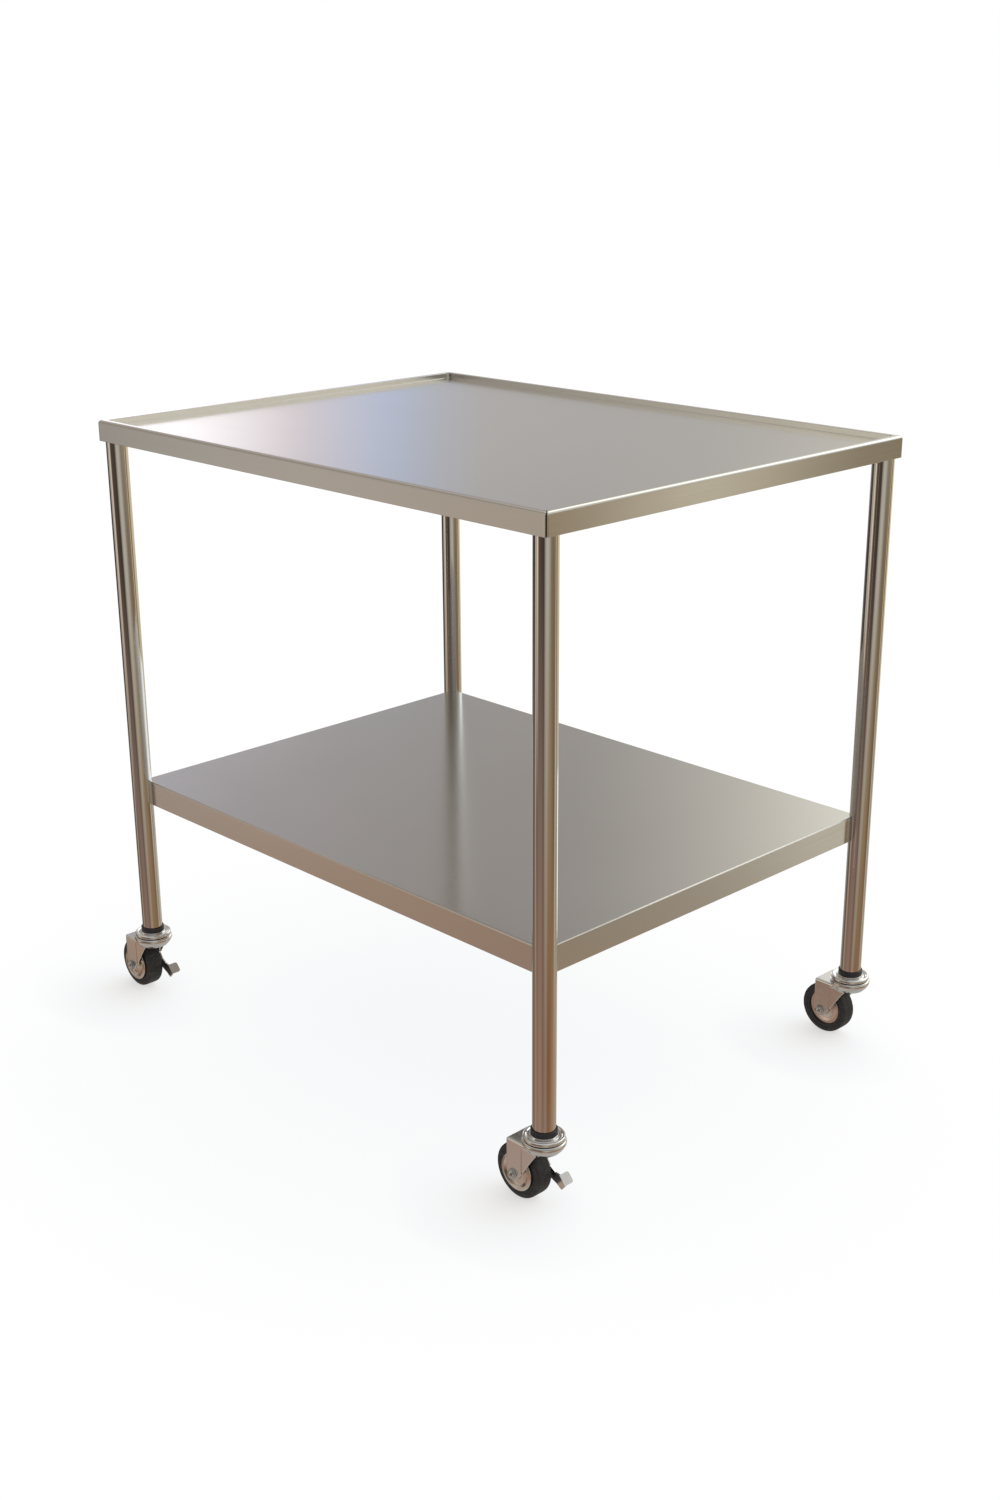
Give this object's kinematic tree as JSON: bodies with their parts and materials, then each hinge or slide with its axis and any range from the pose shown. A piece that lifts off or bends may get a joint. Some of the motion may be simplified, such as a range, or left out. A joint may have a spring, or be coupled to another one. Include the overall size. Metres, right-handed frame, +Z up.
{
  "type": "stainless work table",
  "caption": "Two-tier stainless rolling work table: rimmed worktop and lower shelf with folded skirts on round legs, with swivel casters and brake pedals at the front.",
  "frame": {"origin": "middle of the whole footprint, casters included, on the floor", "axes": "+X along the table, away from the side the casters trail to; -Y is the front, where the braked casters are; +Z up"},
  "size_m": [0.9818, 0.7184, 0.9168],
  "materials": {
    "stainless_sheet": "fine brushed stainless sheet",
    "stainless_tube": "polished stainless tube",
    "galvanised_steel": "dull galvanised steel",
    "zinc_plate": "bright zinc plate",
    "axle_steel": "plain bright steel",
    "wheel_disc": "bright pressed steel",
    "black_nylon": "moulded nylon",
    "tyre_rubber": "moulded rubber"
  },
  "bodies": {
    "frame": {"worktop": "stainless_sheet", "shelf": "stainless_sheet", "worktop_channel_front": "galvanised_steel", "worktop_channel_back": "galvanised_steel", "shelf_channel": "galvanised_steel", "leg_plate_front_left": "galvanised_steel", "leg_front_left": "stainless_tube", "stem_sleeve_front_left": "black_nylon", "stem_front_left": "axle_steel", "upper_race_front_left": "zinc_plate", "leg_plate_front_right": "galvanised_steel", "leg_front_right": "stainless_tube", "stem_sleeve_front_right": "black_nylon", "stem_front_right": "axle_steel", "upper_race_front_right": "zinc_plate", "leg_plate_back_right": "galvanised_steel", "leg_back_right": "stainless_tube", "stem_sleeve_back_right": "black_nylon", "stem_back_right": "axle_steel", "upper_race_back_right": "zinc_plate", "leg_plate_back_left": "galvanised_steel", "leg_back_left": "stainless_tube", "stem_sleeve_back_left": "black_nylon", "stem_back_left": "axle_steel", "upper_race_back_left": "zinc_plate"},
    "swivel_front_left": {"ball_ring_front_left": "axle_steel", "fork_front_left": "zinc_plate", "axle_bolt_front_left": "axle_steel", "axle_nut_front_left": "axle_steel", "axle_spacer_front_left": "axle_steel", "pedal_pin_front_left": "axle_steel"},
    "wheel_front_left": {"hub_front_left": "wheel_disc", "tyre_front_left": "tyre_rubber"},
    "brake_front_left": {"brake_pedal_front_left": "zinc_plate"},
    "swivel_front_right": {"ball_ring_front_right": "axle_steel", "fork_front_right": "zinc_plate", "axle_bolt_front_right": "axle_steel", "axle_nut_front_right": "axle_steel", "axle_spacer_front_right": "axle_steel", "pedal_pin_front_right": "axle_steel"},
    "wheel_front_right": {"hub_front_right": "wheel_disc", "tyre_front_right": "tyre_rubber"},
    "brake_front_right": {"brake_pedal_front_right": "zinc_plate"},
    "swivel_back_right": {"ball_ring_back_right": "axle_steel", "fork_back_right": "zinc_plate", "axle_bolt_back_right": "axle_steel", "axle_nut_back_right": "axle_steel", "axle_spacer_back_right": "axle_steel"},
    "wheel_back_right": {"hub_back_right": "wheel_disc", "tyre_back_right": "tyre_rubber"},
    "swivel_back_left": {"ball_ring_back_left": "axle_steel", "fork_back_left": "zinc_plate", "axle_bolt_back_left": "axle_steel", "axle_nut_back_left": "axle_steel", "axle_spacer_back_left": "axle_steel"},
    "wheel_back_left": {"hub_back_left": "wheel_disc", "tyre_back_left": "tyre_rubber"}
  },
  "joints": [
    {"name": "swivel_turn_front_left", "type": "hinge", "parent": "frame", "child": "swivel_front_left", "pos_m": [-0.41595, -0.3297, 0.0965], "axis": [0, 0, 1], "continuous": true},
    {"name": "wheel_spin_front_left", "type": "hinge", "parent": "swivel_front_left", "child": "wheel_front_left", "pos_m": [-0.45195, -0.3297, 0.039], "axis": [0, 1, 0], "continuous": true},
    {"name": "brake_pedal_lift_front_left", "type": "hinge", "parent": "swivel_front_left", "child": "brake_front_left", "pos_m": [-0.43795, -0.3134, 0.07], "axis": [0, -1, 0], "range_deg": [0, 16]},
    {"name": "swivel_turn_front_right", "type": "hinge", "parent": "frame", "child": "swivel_front_right", "pos_m": [0.46145, -0.3297, 0.0965], "axis": [0, 0, 1], "continuous": true},
    {"name": "wheel_spin_front_right", "type": "hinge", "parent": "swivel_front_right", "child": "wheel_front_right", "pos_m": [0.42545, -0.3297, 0.039], "axis": [0, 1, 0], "continuous": true},
    {"name": "brake_pedal_lift_front_right", "type": "hinge", "parent": "swivel_front_right", "child": "brake_front_right", "pos_m": [0.43945, -0.3134, 0.07], "axis": [0, -1, 0], "range_deg": [0, 16]},
    {"name": "swivel_turn_back_right", "type": "hinge", "parent": "frame", "child": "swivel_back_right", "pos_m": [0.46145, 0.3297, 0.0965], "axis": [0, 0, 1], "continuous": true},
    {"name": "wheel_spin_back_right", "type": "hinge", "parent": "swivel_back_right", "child": "wheel_back_right", "pos_m": [0.42545, 0.3297, 0.039], "axis": [0, 1, 0], "continuous": true},
    {"name": "swivel_turn_back_left", "type": "hinge", "parent": "frame", "child": "swivel_back_left", "pos_m": [-0.41595, 0.3297, 0.0965], "axis": [0, 0, 1], "continuous": true},
    {"name": "wheel_spin_back_left", "type": "hinge", "parent": "swivel_back_left", "child": "wheel_back_left", "pos_m": [-0.45195, 0.3297, 0.039], "axis": [0, 1, 0], "continuous": true}
  ]
}
